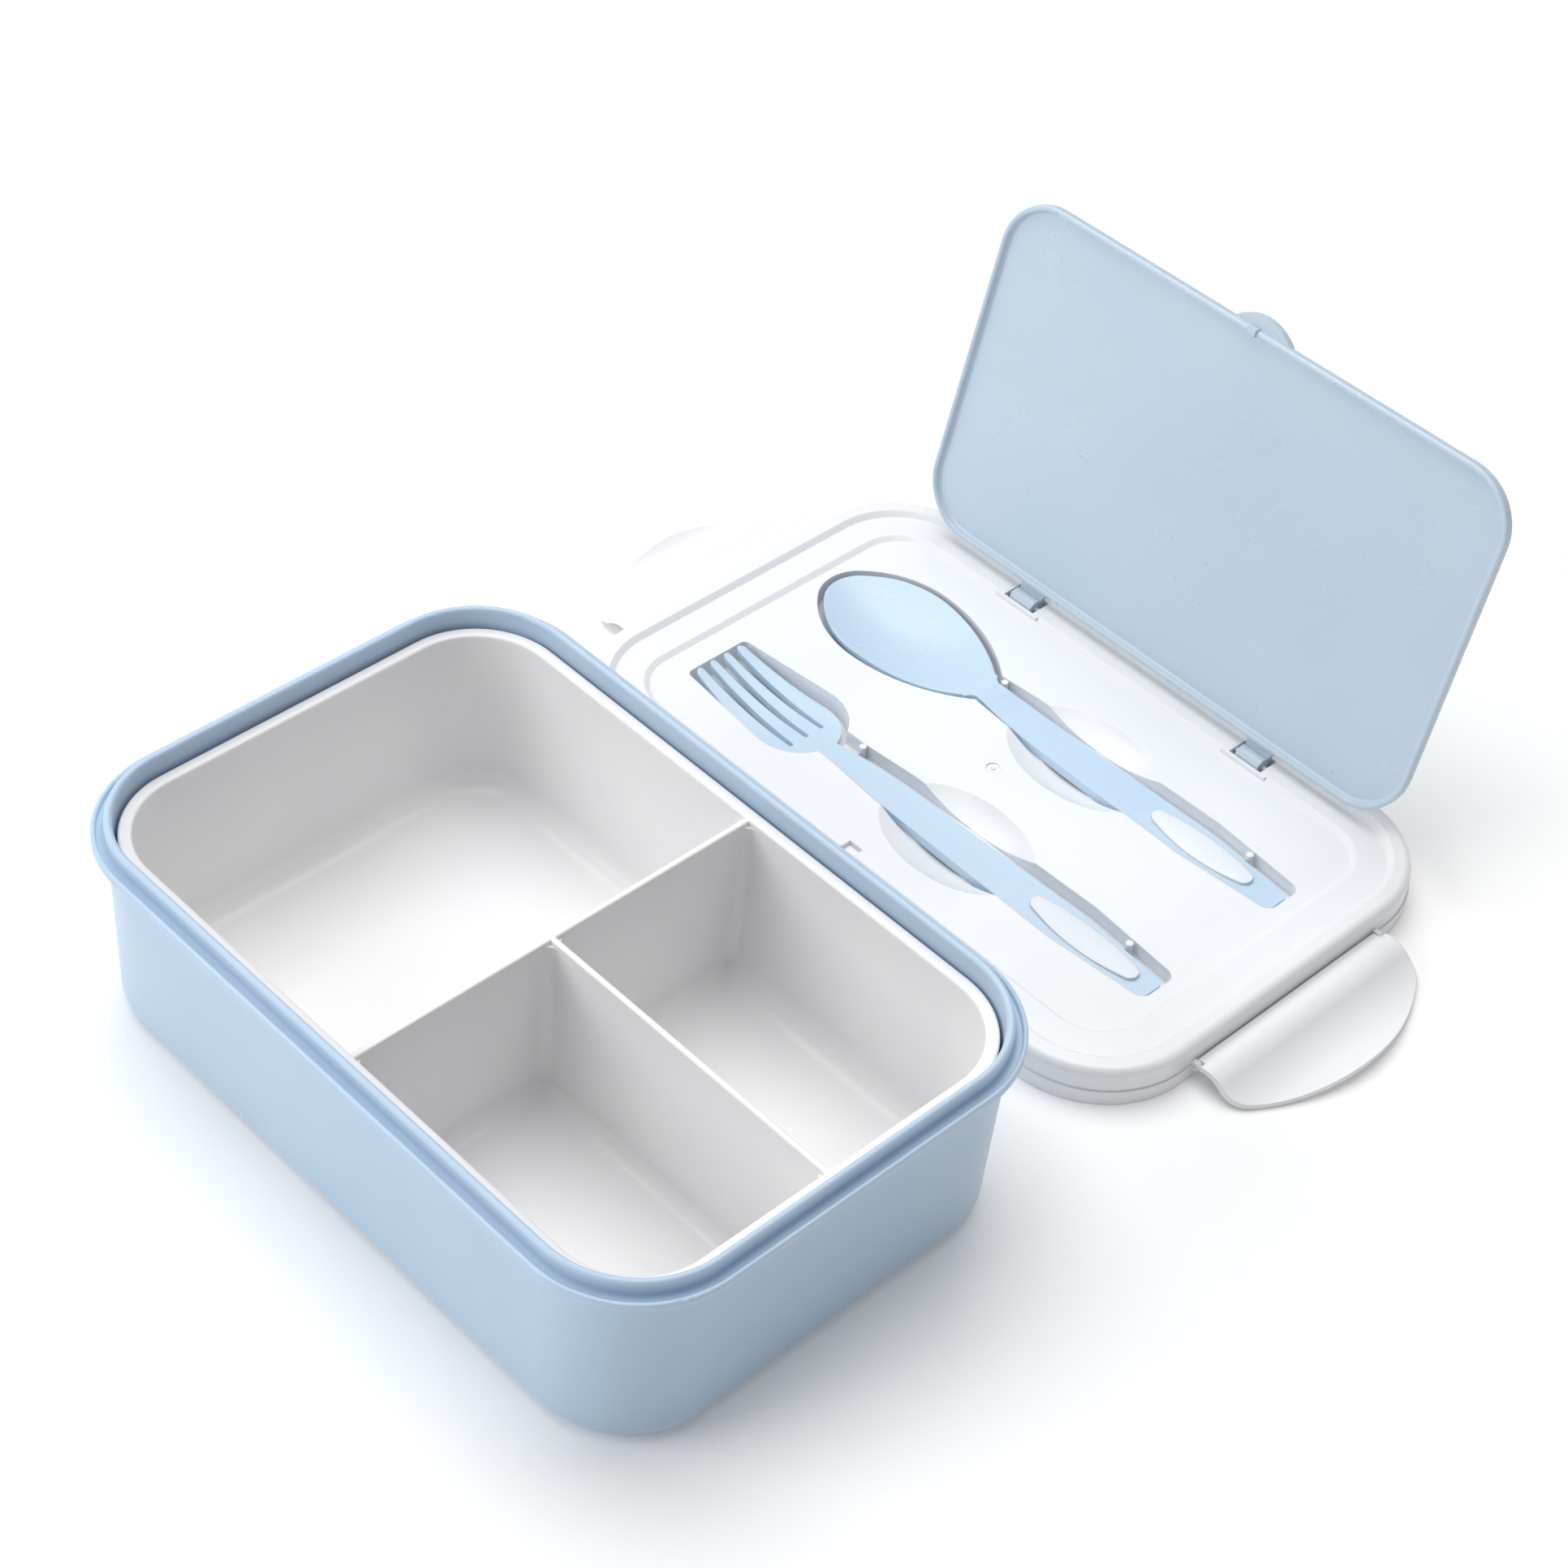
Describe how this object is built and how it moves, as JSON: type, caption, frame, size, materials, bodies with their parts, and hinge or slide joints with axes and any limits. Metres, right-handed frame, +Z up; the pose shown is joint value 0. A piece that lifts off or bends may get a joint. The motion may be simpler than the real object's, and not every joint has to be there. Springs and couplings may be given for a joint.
{
  "type": "lunch box",
  "caption": "Rectangular lunch box with a removable divided tray and a clip-on lid that stores a fork and a spoon under a hinged cover.",
  "frame": {"origin": "centre of the underside of the box, on the surface it stands on", "axes": "+X along the long side of the box, +Y towards the open lid that lies beside it, +Z up"},
  "size_m": [0.276, 0.3327, 0.1252],
  "materials": {
    "box": "satin",
    "tray": "satin",
    "lid": "semi-gloss",
    "seal": "matt",
    "cover": "semi-gloss, slightly translucent",
    "flap": "gloss",
    "cutlery": "semi-gloss",
    "inlay": "semi-gloss"
  },
  "bodies": {
    "box": {"box_shell": "box"},
    "tray": {"tray": "tray"},
    "lid": {"lid_shell": "lid", "lid_seal": "seal"},
    "cover": {"cover": "cover"},
    "flap_left": {"flap_left": "flap"},
    "flap_right": {"flap_right": "flap"},
    "fork": {"fork": "cutlery", "fork_inlay": "inlay"},
    "spoon": {"spoon": "cutlery", "spoon_inlay": "inlay"}
  },
  "joints": [
    {"name": "tray_lift", "type": "slide", "parent": "box", "child": "tray", "axis": [0, 0, 1], "range_m": [0, 0.07]},
    {"name": "lid_lift", "type": "slide", "parent": "box", "child": "lid", "axis": [0, 0, -1], "range_m": [-0.1, 0]},
    {"name": "cover_hinge", "type": "hinge", "parent": "lid", "child": "cover", "pos_m": [-0.0023, 0.2292, 0.0093], "axis": [-1, 0, 0], "range_deg": [-102.4, 0]},
    {"name": "flap_left_hinge", "type": "hinge", "parent": "lid", "child": "flap_left", "pos_m": [-0.1124, 0.1688, 0.005], "axis": [0, 1, 0], "range_deg": [-83.5, 60]},
    {"name": "flap_right_hinge", "type": "hinge", "parent": "lid", "child": "flap_right", "pos_m": [0.1078, 0.1688, 0.005], "axis": [0, -1, 0], "range_deg": [-83.5, 60]},
    {"name": "fork_lift", "type": "slide", "parent": "lid", "child": "fork", "axis": [0, 0, 1], "range_m": [0, 0.04]},
    {"name": "spoon_lift", "type": "slide", "parent": "lid", "child": "spoon", "axis": [0, 0, 1], "range_m": [0, 0.04]}
  ]
}
